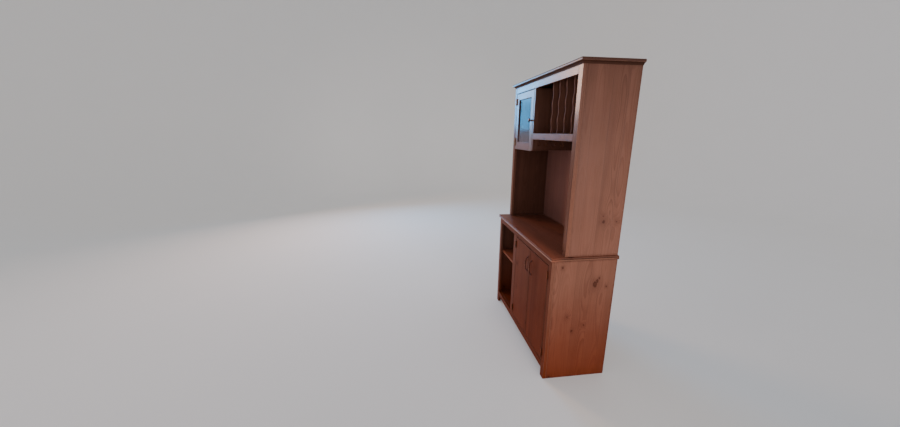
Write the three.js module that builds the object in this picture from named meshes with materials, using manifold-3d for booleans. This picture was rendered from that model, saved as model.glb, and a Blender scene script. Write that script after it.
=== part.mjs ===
// A galley dresser: a cupboard and niche below, a plate rack and a glazed cupboard above.
// Millimetres, +Z up. The front faces -Y, and the origin is at the middle of the footprint, on the floor.
import * as THREE from 'three';
import { mergeVertices } from 'three/addons/utils/BufferGeometryUtils.js';
import Module from 'manifold-3d';

// Driving dimensions of the whole piece
const baseWidth = 1025;
const baseDepth = 400;
const counterHeight = 795;
const counterThickness = 22;
const counterOverhang = 12;
const overallHeight = 1840;
const upperSetBack = 77;
const upperInset = 5;

// Stock that the joiner works from
const boardThickness = 18;
const frameThickness = 20;
const stileWidth = 42;
const railHeight = 40;
const backThickness = 8;
const backRecess = 20;
const plinthRecess = 45;
const plinthHeight = 55;

// Lower part: the niche on the left, the pair of doors on the right
const nicheWidth = 323;
const nicheShelfTop = 488;
const middleStileWidth = 56;
const cupboardShelfTop = 400;
const cupboardShelfSetBack = 60;
const hangingRailHeight = 80;
const hangingRailDrop = 20;

// Upper part: the glazed cupboard on the left, the plate rack on the right
const glazedWidth = 354;
const topRailHeight = 42;
const topBoardThickness = 14;
const crownHeight = 14;
const crownOverhang = 20;
const rackRailTop = 1473;
const glazedFloorBottom = 1357;
const glazedShelfTop = 1508;
const glazedShelfThickness = 12;
const glazedShelfSetBack = 36;

// Plate rack dividers, whose front edges are cut in waves
const dividerThickness = 9;
const dividerPitch = 87;
const dividerFirst = 88;
const dividerSetBack = 8;
const dividerCount = 4;
const waveLength = 100;
const waveDepth = 2.4;
const waveSteps = 8;

// Cup hooks under the plate rack
const hookCount = 4;
const hookPitch = 116;
const hookFirst = 172;
const hookSetBack = 30;
const hookWire = 1.6;
const hookRadius = 11;
const hookShank = 18;
const hookCollarRadius = 5;
const hookCollarHeight = 2;

// Doors
const doorGap = 5;
const doorThickness = 18;
const glassDoorStile = 46;
const glassDoorBottomRail = 55;
const glassDoorBottom = 1352;
const glassThickness = 4;

// Door furniture
const pullCentres = 96;
const pullReach = 22;
const pullRadius = 4.5;
const pullFromEdge = 32;
const pullMiddleHeight = 616;
const pullFootRadius = 8;
const pullFootTopRadius = 7;
const pullFootHeight = 3;
const pullFullness = 0.55;
const knobReach = 24;
const knobRadius = 14;
const knobHeight = 1562;
const knobFromEdge = 21;
const hingeHeight = 52;
const knuckleRadius = 4;
const leafThickness = 1.2;
const leafWidth = 17;
const hingeInset = 30;
const hingeSlack = 0.4;

// Mouldings
const nosingUpperRound = 2.6;
const nosingLowerRound = 5.6;
const nosingGroove = 4.4;
const nosingStep = 1.2;
const topBoardEase = 3;
const coveFoot = 2.5;
const coveFillet = 0.9;
const coveRadius = 18;
const coveFrom = 160;
const coveTo = 104;
const coveLip = 1;

// Every board is planed a hair under its nominal size, so that neighbours meet with a fine joint
const planing = 0.15;
const joint = 2 * planing;

// Places worked out from the dimensions above
const right = baseWidth / 2;
const left = -right;
const baseTop = counterHeight - counterThickness;
const upperRight = right - upperInset;
const upperLeft = left + upperInset;
const upperFront = upperSetBack;
const backFront = baseDepth - backRecess - backThickness;
const backRear = baseDepth - backRecess;
const crownBottom = overallHeight - topBoardThickness - crownHeight;
const upperTop = overallHeight - topBoardThickness;
const topRailBottom = crownBottom - topRailHeight;
const nicheRight = left + stileWidth + nicheWidth;
const doorsLeft = nicheRight + middleStileWidth;
const doorsRight = right - stileWidth;
const bottomRailTop = plinthHeight + railHeight;
const topRailUnder = baseTop - railHeight;
const partitionX = nicheRight + middleStileWidth / 2;
const glazedRight = upperLeft + stileWidth + glazedWidth;
const rackLeft = glazedRight + boardThickness;
const rackRight = upperRight - stileWidth;
const rackRailBottom = rackRailTop - railHeight;
const rackShelfTop = rackRailBottom + boardThickness;
const pivotReach = knuckleRadius + joint;

const frontmost = -(pullReach + joint);
const rearmost = baseDepth - planing;

const dresser = new THREE.Group();
dresser.position.set(0, -(frontmost + rearmost) / 2, -planing);

const wasm = await Module();
wasm.setup();

function pine(shade = 0xb0714a) {
  return new THREE.MeshStandardMaterial({ color: shade, roughness: 0.35, metalness: 0 });
}

function darkMetal() {
  return new THREE.MeshStandardMaterial({ color: 0x4a4038, roughness: 0.35, metalness: 0.9 });
}

function brass() {
  return new THREE.MeshStandardMaterial({ color: 0xb08d4a, roughness: 0.3, metalness: 0.9 });
}

function clearGlass() {
  return new THREE.MeshStandardMaterial({
    color: 0xe4eef2, roughness: 0.05, metalness: 0, transparent: true, opacity: 0.3,
  });
}

function place(name, geometry, material) {
  const mesh = new THREE.Mesh(geometry, material);
  mesh.name = name;
  dresser.add(mesh);
  return mesh;
}

// A board between its lowest and highest corner
function boardGeometry(x0, x1, y0, y1, z0, z1) {
  const box = new THREE.BoxGeometry(x1 - x0 - joint, y1 - y0 - joint, z1 - z0 - joint);
  box.translate((x0 + x1) / 2, (y0 + y1) / 2, (z0 + z1) / 2);
  return box;
}

function board(name, x0, x1, y0, y1, z0, z1) {
  return place(name, boardGeometry(x0, x1, y0, y1, z0, z1), pine());
}

// Solids for the joins and cuts
function toSolid(geometry) {
  const bare = geometry.clone();
  bare.deleteAttribute('normal');
  bare.deleteAttribute('uv');
  const merged = mergeVertices(bare, 1e-4);
  return new wasm.Manifold(new wasm.Mesh({
    numProp: 3,
    vertProperties: new Float32Array(merged.attributes.position.array),
    triVerts: new Uint32Array(merged.index.array),
  }));
}

function toGeometry(solid) {
  const mesh = solid.getMesh();
  const geometry = new THREE.BufferGeometry();
  geometry.setAttribute('position', new THREE.BufferAttribute(new Float32Array(mesh.vertProperties), 3));
  geometry.setIndex(new THREE.BufferAttribute(new Uint32Array(mesh.triVerts), 1));
  geometry.computeVertexNormals();
  return geometry;
}

function joined(geometries) {
  return geometries.map(toSolid).reduce((whole, piece) => whole.add(piece));
}

// A slab whose front and side edges follow a moulded section. Each level is [out, height]:
// how far the edge stands out from the block that the slab caps, and its height.
function mouldedSlab(block, levels) {
  const positions = [];
  const index = [];
  for (const [out, height] of levels) {
    positions.push(block.left - out, block.front - out, height);
    positions.push(block.right + out, block.front - out, height);
    positions.push(block.right + out, block.back, height);
    positions.push(block.left - out, block.back, height);
  }
  for (let ring = 0; ring + 1 < levels.length; ring++) {
    for (let corner = 0; corner < 4; corner++) {
      const a = 4 * ring + corner;
      const b = 4 * ring + ((corner + 1) % 4);
      index.push(a, b, b + 4, a, b + 4, a + 4);
    }
  }
  const last = 4 * (levels.length - 1);
  index.push(0, 2, 1, 0, 3, 2);
  index.push(last, last + 1, last + 2, last, last + 2, last + 3);
  const geometry = new THREE.BufferGeometry();
  geometry.setAttribute('position', new THREE.Float32BufferAttribute(positions, 3));
  geometry.setIndex(index);
  geometry.computeVertexNormals();
  return geometry;
}

// Points of an arc in an [out, height] section, from one angle to another in degrees
function arc(out, height, radius, from, to, steps) {
  const points = [];
  for (let step = 0; step <= steps; step++) {
    const angle = THREE.MathUtils.degToRad(from + ((to - from) * step) / steps);
    points.push([out + radius * Math.cos(angle), height + radius * Math.sin(angle)]);
  }
  return points;
}

// Lower carcass
function makeBase() {
  const sideFront = frameThickness;
  board('base_side_left', left, left + boardThickness, sideFront, baseDepth, 0, baseTop);
  board('base_side_right', right - boardThickness, right, sideFront, baseDepth, 0, baseTop);
  const innerLeft = left + boardThickness;
  const innerRight = right - boardThickness;
  const bottomTop = bottomRailTop;
  const bottomUnder = bottomTop - boardThickness;
  board('base_bottom', innerLeft, innerRight, sideFront, backFront, bottomUnder, bottomTop);
  board('base_back', innerLeft, innerRight, backFront, backRear, plinthHeight, baseTop);
  const railTop = baseTop - hangingRailDrop;
  board('base_hanging_rail', innerLeft, innerRight, backRear, baseDepth,
    railTop - hangingRailHeight, railTop);
  board('plinth', innerLeft, innerRight, plinthRecess, plinthRecess + boardThickness, 0, bottomUnder);
  const partitionLeft = partitionX - boardThickness / 2;
  const partitionRight = partitionX + boardThickness / 2;
  board('base_partition', partitionLeft, partitionRight, sideFront, backFront, bottomTop, baseTop);
  board('niche_shelf', innerLeft, partitionLeft, sideFront, backFront,
    nicheShelfTop - boardThickness, nicheShelfTop);
  board('cupboard_shelf', partitionRight, innerRight, cupboardShelfSetBack, backFront,
    cupboardShelfTop - boardThickness, cupboardShelfTop);
}

// Face frame of the lower part
function makeBaseFrame() {
  board('base_stile_left', left, left + stileWidth, 0, frameThickness, 0, baseTop);
  board('base_stile_right', right - stileWidth, right, 0, frameThickness, 0, baseTop);
  board('base_rail_top', left + stileWidth, right - stileWidth, 0, frameThickness, topRailUnder, baseTop);
  board('base_rail_bottom', left + stileWidth, right - stileWidth, 0, frameThickness,
    plinthHeight, bottomRailTop);
  board('base_stile_middle', nicheRight, doorsLeft, 0, frameThickness, bottomRailTop, topRailUnder);
}

// Counter with a nosing of two rounds and a groove between them
function makeCounter() {
  const block = { left, right, front: 0, back: baseDepth - planing };
  const under = baseTop + planing;
  const top = counterHeight - planing;
  const lowerMiddle = under + nosingLowerRound + 1;
  const grooveBottom = lowerMiddle + nosingLowerRound + nosingStep;
  const upperOut = counterOverhang - nosingUpperRound - nosingStep;
  const levels = [
    [counterOverhang - nosingLowerRound, under],
    ...arc(counterOverhang - nosingLowerRound, lowerMiddle, nosingLowerRound, -60, 70, 6),
    [counterOverhang - nosingGroove, grooveBottom],
    [counterOverhang - nosingGroove, grooveBottom + nosingStep],
    ...arc(upperOut, top - nosingUpperRound, nosingUpperRound, -50, 90, 6),
  ];
  place('counter_top', mouldedSlab(block, levels), pine());
}

// Upper carcass
function makeUpper() {
  const sideFront = upperFront + frameThickness;
  const innerLeft = upperLeft + boardThickness;
  const innerRight = upperRight - boardThickness;
  board('upper_side_left', upperLeft, innerLeft, sideFront, baseDepth, counterHeight, upperTop);
  board('upper_side_right', innerRight, upperRight, sideFront, baseDepth, counterHeight, upperTop);
  board('upper_back', innerLeft, innerRight, backFront, backRear, counterHeight, upperTop);
  const railTop = upperTop - hangingRailDrop;
  board('upper_hanging_rail', innerLeft, innerRight, backRear, baseDepth,
    railTop - hangingRailHeight, railTop);
  board('upper_partition', glazedRight, rackLeft, upperFront, backFront, glazedFloorBottom, topRailBottom);
  board('rack_shelf', rackLeft, innerRight, sideFront, backFront, rackRailBottom, rackShelfTop);
  const behindDoor = sideFront + doorGap;
  board('glazed_floor', innerLeft, glazedRight, behindDoor, backFront,
    glazedFloorBottom, glazedFloorBottom + boardThickness);
  board('glazed_shelf', innerLeft, glazedRight, behindDoor + glazedShelfSetBack, backFront,
    glazedShelfTop - glazedShelfThickness, glazedShelfTop);
}

// Face frame of the upper part
function makeUpperFrame() {
  const rear = upperFront + frameThickness;
  const inner = upperLeft + stileWidth;
  board('upper_stile_left', upperLeft, inner, upperFront, rear, counterHeight, upperTop);
  board('upper_stile_right', rackRight, upperRight, upperFront, rear, counterHeight, upperTop);
  board('upper_rail_top', inner, rackRight, upperFront, rear, topRailBottom, upperTop);
  board('rack_rail', rackLeft, rackRight, upperFront, rear, rackRailBottom, rackRailTop);
}

// Top board with an eased edge, and the hollow moulding planted under it
function makeCrown() {
  const block = { left: upperLeft, right: upperRight, front: upperFront, back: baseDepth - planing };
  const under = upperTop + planing;
  const top = overallHeight + planing;
  const boardLevels = [
    [crownOverhang, under],
    [crownOverhang, top - topBoardEase],
    ...arc(crownOverhang - topBoardEase, top - topBoardEase, topBoardEase, 0, 90, 4).slice(1),
  ];
  place('top_board', mouldedSlab(block, boardLevels), pine());

  // The hollow leans out from the rail, so its arc starts where it is already tilted
  const [[footOut, footHeight]] = arc(0, 0, coveRadius, coveFrom, coveTo, 1);
  const middleOut = coveFoot - footOut;
  const middleHeight = crownBottom + coveFillet - footHeight;
  const hollow = arc(middleOut, middleHeight, coveRadius, coveFrom, coveTo, 6);
  const [hollowOut, hollowTop] = hollow[hollow.length - 1];
  const coveLevels = [
    [coveFoot, crownBottom],
    ...hollow,
    [hollowOut + coveLip, hollowTop],
    [hollowOut + coveLip, under - joint],
  ];
  const past = 5;
  const carcass = boardGeometry(upperLeft - joint, upperRight + joint, upperFront - joint,
    baseDepth + crownOverhang, crownBottom - past, upperTop + past);
  const cove = toSolid(mouldedSlab(block, coveLevels)).subtract(toSolid(carcass));
  place('crown_moulding', toGeometry(cove), pine());
}

// Plate rack dividers: boards on edge, whose front edges run in waves from shelf to rail
function makeDividers() {
  const bottom = rackShelfTop + joint;
  const top = upperTop - joint;
  const front = upperFront + frameThickness + dividerSetBack + waveDepth;
  const rear = backFront - joint;
  const outline = new THREE.Shape();
  outline.moveTo(rear, bottom);
  outline.lineTo(rear, top);
  const steps = Math.round(((top - bottom) / waveLength) * waveSteps);
  for (let step = 0; step <= steps; step++) {
    const height = top - ((top - bottom) * step) / steps;
    outline.lineTo(front - waveDepth * Math.cos((2 * Math.PI * (height - bottom)) / waveLength), height);
  }
  outline.closePath();
  for (let number = 1; number <= dividerCount; number++) {
    const geometry = new THREE.ExtrudeGeometry(outline, { depth: dividerThickness, bevelEnabled: false });
    const turned = new THREE.Matrix4().makeBasis(
      new THREE.Vector3(0, 1, 0), new THREE.Vector3(0, 0, 1), new THREE.Vector3(1, 0, 0));
    geometry.applyMatrix4(turned);
    const middle = rackRight - dividerFirst - (number - 1) * dividerPitch;
    geometry.translate(middle - dividerThickness / 2, 0, 0);
    place(`rack_divider_${number}`, geometry, pine());
  }
}

// Screw-in cup hooks: a round collar under the shelf, a short shank and a ring open at the front
function makeCupHooks() {
  const under = rackRailBottom - joint;
  const ringHeight = under - hookShank - hookRadius;
  const y = upperFront + hookSetBack;
  for (let number = 1; number <= hookCount; number++) {
    const x = rackRight - hookFirst - (number - 1) * hookPitch;
    const collarMiddle = under - hookCollarHeight / 2;
    const points = [new THREE.Vector3(x, y, collarMiddle), new THREE.Vector3(x, y, under - hookShank / 2)];
    for (const [out, height] of arc(y, ringHeight, hookRadius, 60, -200, 9)) {
      points.push(new THREE.Vector3(x, out, height));
    }
    const route = new THREE.CatmullRomCurve3(points);
    const section = new THREE.Shape();
    section.absarc(0, 0, hookWire, 0, 2 * Math.PI);
    const wire = new THREE.ExtrudeGeometry(section, { steps: 24, curveSegments: 6, extrudePath: route });
    const collar = new THREE.CylinderGeometry(hookCollarRadius, hookCollarRadius, hookCollarHeight, 16);
    collar.rotateX(Math.PI / 2);
    collar.translate(x, y, collarMiddle);
    place(`cup_hook_${number}`, toGeometry(joined([wire, collar])), brass());
  }
}

// A hinge leaf: a plate in the gap between door and stile, with its knuckles on the pivot.
// side is +1 where the door lies to the right of its pivot, and -1 where it lies to the left.
function hingeLeaf(pivot, bottom, side, knuckles, otherKnuckles) {
  const near = pivot.x + side * (doorGap / 2 - joint);
  const far = near - side * leafThickness;
  const plate = new THREE.BoxGeometry(leafThickness, leafWidth + pivotReach, hingeHeight);
  plate.translate((near + far) / 2, pivot.y + (leafWidth + pivotReach) / 2, bottom + hingeHeight / 2);
  const roll = (radius, from, to) => {
    const knuckle = new THREE.CylinderGeometry(radius, radius, to - from, 16);
    knuckle.rotateX(Math.PI / 2);
    knuckle.translate(pivot.x, pivot.y, bottom + (from + to) / 2);
    return toSolid(knuckle);
  };
  let leaf = toSolid(plate);
  for (const [from, to] of otherKnuckles) {
    leaf = leaf.subtract(roll(knuckleRadius + hingeSlack, from - hingeSlack, to + hingeSlack));
  }
  for (const [from, to] of knuckles) {
    leaf = leaf.add(roll(knuckleRadius, from, to));
  }
  return toGeometry(leaf);
}

function makeHinges(doorName, pivot, side, bottoms) {
  const third = hingeHeight / 3;
  const ends = [[0, third - joint], [2 * third + joint, hingeHeight]];
  const middle = [[third + joint, 2 * third - joint]];
  bottoms.forEach((bottom, which) => {
    const level = which === 0 ? 'lower' : 'upper';
    place(`${doorName}_hinge_${level}`, hingeLeaf(pivot, bottom, -side, ends, middle), brass());
    place(`${doorName}_leaf_${level}`, hingeLeaf(pivot, bottom, side, middle, ends), brass());
  });
}

// Bow pull, standing upright on a door
function makePull(name, x) {
  const points = [];
  const steps = 12;
  for (let step = 0; step <= steps; step++) {
    const along = step / steps;
    const bow = Math.sin(Math.PI * along) ** pullFullness;
    points.push(new THREE.Vector3(
      x, -joint - (pullReach - pullRadius) * bow, pullMiddleHeight + pullCentres * (along - 0.5)));
  }
  const route = new THREE.CatmullRomCurve3(points);
  const section = new THREE.Shape();
  section.absarc(0, 0, pullRadius, 0, 2 * Math.PI);
  const bar = new THREE.ExtrudeGeometry(section, { steps: 28, curveSegments: 6, extrudePath: route });
  const feet = [-0.5, 0.5].map((end) => {
    const foot = new THREE.CylinderGeometry(pullFootTopRadius, pullFootRadius, pullFootHeight, 20);
    foot.rotateX(Math.PI);
    foot.translate(x, -pullFootHeight / 2 - joint, pullMiddleHeight + pullCentres * end);
    return foot;
  });
  const past = pullReach * 2;
  const behind = boardGeometry(x - past, x + past, -joint, past,
    pullMiddleHeight - pullCentres, pullMiddleHeight + pullCentres);
  place(name, toGeometry(joined([bar, ...feet]).subtract(toSolid(behind))), darkMetal());
}

// The pair of doors under the counter. side is +1 for a door that lies to the right of its hinges.
function makeBaseDoors() {
  const bottom = bottomRailTop + doorGap;
  const top = topRailUnder - doorGap;
  const middle = (doorsLeft + doorsRight) / 2;
  const doors = [
    { name: 'door_left', hinge: doorsLeft, side: 1 },
    { name: 'door_right', hinge: doorsRight, side: -1 },
  ];
  for (const door of doors) {
    const hung = door.hinge + door.side * doorGap;
    const closing = middle - (door.side * doorGap) / 2;
    board(door.name, Math.min(hung, closing), Math.max(hung, closing), 0, doorThickness, bottom, top);
    const pivot = { x: door.hinge + (door.side * doorGap) / 2, y: -pivotReach };
    makeHinges(door.name, pivot, door.side, [bottom + hingeInset, top - hingeInset - hingeHeight]);
    makePull(`${door.name}_pull`, closing - door.side * pullFromEdge);
  }
}

// The glazed door of the upper cupboard
function makeGlassDoor() {
  const from = upperLeft + stileWidth + doorGap;
  const to = glazedRight - doorGap;
  const bottom = glassDoorBottom;
  const top = topRailBottom - doorGap;
  const front = upperFront;
  const rear = upperFront + frameThickness;
  board('glass_door_stile_left', from, from + glassDoorStile, front, rear, bottom, top);
  board('glass_door_stile_right', to - glassDoorStile, to, front, rear, bottom, top);
  board('glass_door_rail_top', from + glassDoorStile, to - glassDoorStile, front, rear,
    top - glassDoorStile, top);
  board('glass_door_rail_bottom', from + glassDoorStile, to - glassDoorStile, front, rear,
    bottom, bottom + glassDoorBottomRail);
  const middle = (front + rear) / 2;
  const pane = boardGeometry(from + glassDoorStile, to - glassDoorStile,
    middle - glassThickness / 2, middle + glassThickness / 2,
    bottom + glassDoorBottomRail, top - glassDoorStile);
  place('glass_pane', pane, clearGlass());

  // Knob profile as shares of its radius and its reach
  const profile = [
    [0, 0], [0.5, 0], [0.5, 0.08], [0.32, 0.17], [0.32, 0.42], [0.64, 0.54],
    [0.93, 0.69], [1, 0.81], [0.89, 0.94], [0.57, 1], [0, 1],
  ].map(([radius, out]) => new THREE.Vector2(radius * knobRadius, out * knobReach));
  const knob = new THREE.LatheGeometry(profile, 24);
  knob.rotateX(Math.PI);
  knob.translate(to - knobFromEdge, front - joint, knobHeight);
  place('glass_door_knob', knob, darkMetal());

  const pivot = { x: from - doorGap / 2, y: front - pivotReach };
  makeHinges('glass_door', pivot, 1, [bottom + hingeInset, top - hingeInset - hingeHeight]);
}

makeBase();
makeBaseFrame();
makeCounter();
makeUpper();
makeUpperFrame();
makeCrown();
makeDividers();
makeCupHooks();
makeBaseDoors();
makeGlassDoor();

export default dresser;
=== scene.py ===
# The looks of a galley dresser: varnished knotty pine, dark bronze pulls, brass hinges and hooks,
# and one glazed door. Metres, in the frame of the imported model: the front faces -Y, +X is the end
# with the plate rack, and the floor is z = 0.
import math
import random

import bmesh
import bpy
from mathutils import Matrix, Vector


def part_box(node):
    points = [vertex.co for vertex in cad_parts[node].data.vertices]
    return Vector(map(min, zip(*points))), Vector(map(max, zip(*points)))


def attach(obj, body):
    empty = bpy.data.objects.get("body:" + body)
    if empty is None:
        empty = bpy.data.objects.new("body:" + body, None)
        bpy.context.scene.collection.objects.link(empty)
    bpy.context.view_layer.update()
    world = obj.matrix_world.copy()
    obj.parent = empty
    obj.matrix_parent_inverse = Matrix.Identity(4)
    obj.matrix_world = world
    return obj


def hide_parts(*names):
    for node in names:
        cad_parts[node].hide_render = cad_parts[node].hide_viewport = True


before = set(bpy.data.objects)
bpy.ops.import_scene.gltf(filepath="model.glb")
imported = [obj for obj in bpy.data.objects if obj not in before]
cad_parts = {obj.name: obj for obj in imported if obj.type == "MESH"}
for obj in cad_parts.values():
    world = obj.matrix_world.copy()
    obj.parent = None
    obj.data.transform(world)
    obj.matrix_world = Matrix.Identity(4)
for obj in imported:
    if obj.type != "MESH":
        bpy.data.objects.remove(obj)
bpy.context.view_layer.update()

MM = 0.001
X, Y, Z = 0, 1, 2
RIGHT, LEFT = Vector((1, 0, 0)), Vector((-1, 0, 0))
BACK, FRONT = Vector((0, 1, 0)), Vector((0, -1, 0))
UP, DOWN = Vector((0, 0, 1)), Vector((0, 0, -1))
CARCASS = "carcass"
GLUE_LINE = 0.3 * MM

# The photograph's view: its width and the focal length in its pixels, and where the lens was
PICTURE_WIDTH = 900
FOCAL_PIXELS = 330.98
SENSOR_WIDTH = 36
CAMERA_PLACE = Vector((2.1614, -1.0014, 1.4763))
CAMERA_YAW = math.radians(7.9155)
CAMERA_PITCH = math.radians(13.770)
CAMERA_ROLL = math.radians(0.407)


def linear(red, green, blue):
    """A colour as seen on a screen, 0 to 255, as the linear values that shaders take."""
    def channel(value):
        value /= 255
        return value / 12.92 if value <= 0.04045 else ((value + 0.055) / 1.055) ** 2.4
    return channel(red), channel(green), channel(blue), 1.0


# Timber: pine in light and dark wood, its end grain, knots and worn places, of which the pale edges
# and the polished round are also a painted highlight and glint, and the backs' ply
PINE_LIGHT = linear(131, 89, 73)
PINE_DARK = linear(89, 53, 41)
PINE_END = linear(78, 44, 33)
PINE_KNOT = linear(46, 21, 15)
PINE_RUBBED_AND_LIT = linear(152, 106, 84)
PINE_POLISHED_AND_GLINT = linear(178, 134, 106)
PINE_WORKED = linear(158, 84, 60)
PLY_LIGHT = linear(132, 94, 86)
PLY_DARK = linear(98, 63, 57)
GRIME = PINE_KNOT

# Painted warm shade, as from light bounced off a red floor: it multiplies the colour under it by
# this, fully at the foot and not at all at the top
WARM_SHADE = (0.92, 0.38, 0.17, 1.0)
WARM_SHADE_TOP = 0.72
WARM_SHADE_FOOT = -0.06

# Metals, and the dust on the glass, thin and thick, with a purple-grey painted reflection low down
BRONZE = linear(86, 50, 42)
# Paler bronze where worn, also painted as a reflection of warm light
BRONZE_RUBBED_AND_LIT = linear(150, 98, 80)
BRASS = linear(118, 72, 44)
BRASS_TARNISH = linear(64, 34, 28)
BRASS_CLEAN = linear(168, 150, 128)
BRASS_DULL = linear(128, 104, 84)
BRASS_WARM = linear(136, 80, 56)
BRASS_BROWN = linear(112, 64, 46)
STEEL = linear(150, 146, 140)
RUST = linear(96, 60, 42)
DUST_THIN = linear(40, 46, 60)
DUST_THICK = linear(80, 83, 100)
PAINTED_LOW_REFLECTION = linear(138, 122, 130)


class Value:
    """A socket in a material's node tree. Sums on values add Math nodes, node() adds any kind."""

    def __init__(self, tree, socket=None):
        self.tree = tree
        self.socket = socket

    def node(self, kind, settings=None, inputs=None, output=0):
        made = self.tree.nodes.new(kind)
        for name, setting in (settings or {}).items():
            setattr(made, name, setting)
        self.connect(made, inputs or {})
        return Value(self.tree, made.outputs[output])

    def connect(self, node, inputs):
        """Puts numbers, colours or values on a node's sockets."""
        for name, value in inputs.items():
            if isinstance(value, Value):
                self.tree.links.new(value.socket, node.inputs[name])
            else:
                node.inputs[name].default_value = value

    def sibling(self, output):
        """Another output of the node that this value comes from."""
        return Value(self.tree, self.socket.node.outputs[output])

    def math(self, operation, *values):
        return self.node("ShaderNodeMath", {"operation": operation}, dict(enumerate(values)))

    def vector_math(self, operation, *values):
        return self.node("ShaderNodeVectorMath", {"operation": operation}, dict(enumerate(values)))

    def mix(self, factor, first, second, blend="MIX"):
        settings = {"data_type": "RGBA", "blend_type": blend}
        return self.node("ShaderNodeMix", settings, {0: factor, 6: first, 7: second}, output=2)

    def step(self, low, high):
        """0 below low and 1 above high, with a smooth rise between. low may be the greater one."""
        inputs = {"Value": self, "From Min": low, "From Max": high}
        return self.node("ShaderNodeMapRange", {"interpolation_type": "SMOOTHSTEP"}, inputs)

    def swing(self, amount):
        """A chance value of 0 to 1 as one about zero, over a range of the amount."""
        return (self - 0.5) * amount

    def parts(self):
        first = self.node("ShaderNodeSeparateXYZ", None, {0: self})
        return [first, first.sibling(Y), first.sibling(Z)]

    def together(self, x, y, z):
        return self.node("ShaderNodeCombineXYZ", None, {0: x, 1: y, 2: z})

    def noise(self, vector, scale, detail=2.0, roughness=0.5, output=0):
        inputs = {"Vector": vector, "Scale": scale, "Detail": detail, "Roughness": roughness}
        return self.node("ShaderNodeTexNoise", None, inputs, output)

    def __add__(self, other):
        return self.math("ADD", self, other)

    __radd__ = __add__

    def __sub__(self, other):
        return self.math("SUBTRACT", self, other)

    def __rsub__(self, other):
        return self.math("SUBTRACT", other, self)

    def __mul__(self, other):
        return self.math("MULTIPLY", self, other)

    __rmul__ = __mul__

    def __truediv__(self, other):
        return self.math("DIVIDE", self, other)


def new_material(name):
    """An empty material: its first value, its shader and its object coordinates."""
    material = bpy.data.materials.new(name)
    material.use_nodes = True
    tree = material.node_tree
    shader = next(node for node in tree.nodes if node.type == "BSDF_PRINCIPLED")
    start = Value(tree)
    place = start.node("ShaderNodeTexCoord", None, None, "Object")
    return material, start, shader, place


def bump(start, height, strength, distance):
    inputs = {"Strength": strength, "Distance": distance, "Height": height}
    return start.node("ShaderNodeBump", None, inputs)


def from_line(start, beside, below):
    """How far a point is from a line, from how far it is beside it and below it."""
    return start.math("SQRT", beside * beside + below * below)


def edge_distance(start, place, low, high):
    """How far a point on a board's surface is from the board's nearest edge."""
    middle = (Vector(low) + Vector(high)) / 2
    half = (Vector(high) - Vector(low)) / 2
    from_middle = start.vector_math("ABSOLUTE", start.vector_math("SUBTRACT", place, middle))
    inside = start.vector_math("SUBTRACT", half, from_middle).parts()
    smallest = start.math("MINIMUM", start.math("MINIMUM", inside[X], inside[Y]), inside[Z])
    greatest = start.math("MAXIMUM", start.math("MAXIMUM", inside[X], inside[Y]), inside[Z])
    return inside[X] + inside[Y] + inside[Z] - smallest - greatest


# How pine is made up, in metres. At most one scattered knot lies in each field.
STAVE_WIDTH = 0.094
RING_SPACING = 0.0036
KNOT_FIELD = 0.17
KNOT_FIELD_LENGTH = 1.3 * KNOT_FIELD
KNOT_FLATNESS = 0.72


def from_pith(start, inside, deep, along, first, second):
    """How far a point is from the pith of the log that its stave was sawn from.

    The log tapers and is bent a little along its length. first and second place its pith.
    """
    taper = 0.006
    slow = start.together(inside * 3, deep * 3, along * 1.4 + first * 40)
    bend_across, bend_deep, _ = start.noise(slow, 1.0, output="Color").parts()
    beside = inside + first.swing(0.11) + bend_across.swing(0.06)
    below = deep + 0.035 + second * 0.09 + bend_deep.swing(0.05)
    return from_line(start, beside, below) + along * taper


def scattered_knots(start, across, along, chance):
    """How far a point is from the nearest of a scattered few knots, as a share of its size."""
    smallest, spread, nowhere = 0.022, 0.045, 20
    vector = start.together(across / KNOT_FIELD, along / KNOT_FIELD_LENGTH, 0.0)
    field = start.node("ShaderNodeTexVoronoi", {"voronoi_dimensions": "2D"},
                       {"Vector": vector, "Scale": 1.0}, "Color")
    chosen, size, _ = field.parts()
    absent = chosen.step(chance - 0.01, chance)
    return field.sibling("Distance") / (size * spread + smallest) + absent * nowhere


def placed_knot(start, wide, along, knot):
    """How far a point is from one knot, as a share of its size. A knot is longer than it is wide.

    A faint knot is one that lies under the surface, so no point comes near its heart.
    """
    knot_wide, knot_along, knot_size, faint = knot
    beside = wide - knot_wide
    below = (along - knot_along) * KNOT_FLATNESS
    return from_line(start, beside, below) / knot_size + faint


def knot_wood(start, knot, dark):
    """A knot from its heart outwards, with rings of its own and the bark: where, and its colour."""
    heart = knot.step(1.12, 0.82)
    bark = knot.step(0.7, 0.92) * knot.step(1.22, 1.0)
    rings = start.math("FRACT", knot * 4.3).step(0.1, 0.9)
    return heart, start.mix(rings * 0.35 + bark * 0.5 + 0.15, dark, PINE_KNOT)


def worked_nosing(start, colour, coordinates, normal, broken, low, high):
    """A counter's front edge: its colour, and where its broad round has been polished.

    The top is worn along its front, and the broad round is paler, polished by hands and aprons and
    painted with a glint. The groove above it is darker. Away from the back, the ends of the counter
    have it too.
    """
    crest_height, groove_height = 0.36, 0.63
    share = (coordinates[Z] - low.z) / (high.z - low.z)
    away = (high.y - coordinates[Y]).step(0.01, 0.04)
    front = normal[Y].step(-0.2, -0.7)
    strip = (coordinates[Y] - low.y + broken.swing(0.02)).step(0.085, 0.015)
    polish_and_glint = start.math("ABSOLUTE", share - crest_height).step(0.17, 0.05)
    polish_and_glint = polish_and_glint * away * (front * 0.75 + 0.25)
    groove = start.math("ABSOLUTE", share - groove_height).step(0.11, 0.06) * away
    colour = start.mix(strip * 0.3, colour, PINE_WORKED)
    # Paler along the broad round, as polish and as a painted glint
    colour = start.mix(polish_and_glint * (broken * 0.5 + 0.4), colour, PINE_POLISHED_AND_GLINT)
    return start.mix(groove * 0.75, colour, GRIME), polish_and_glint


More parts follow.
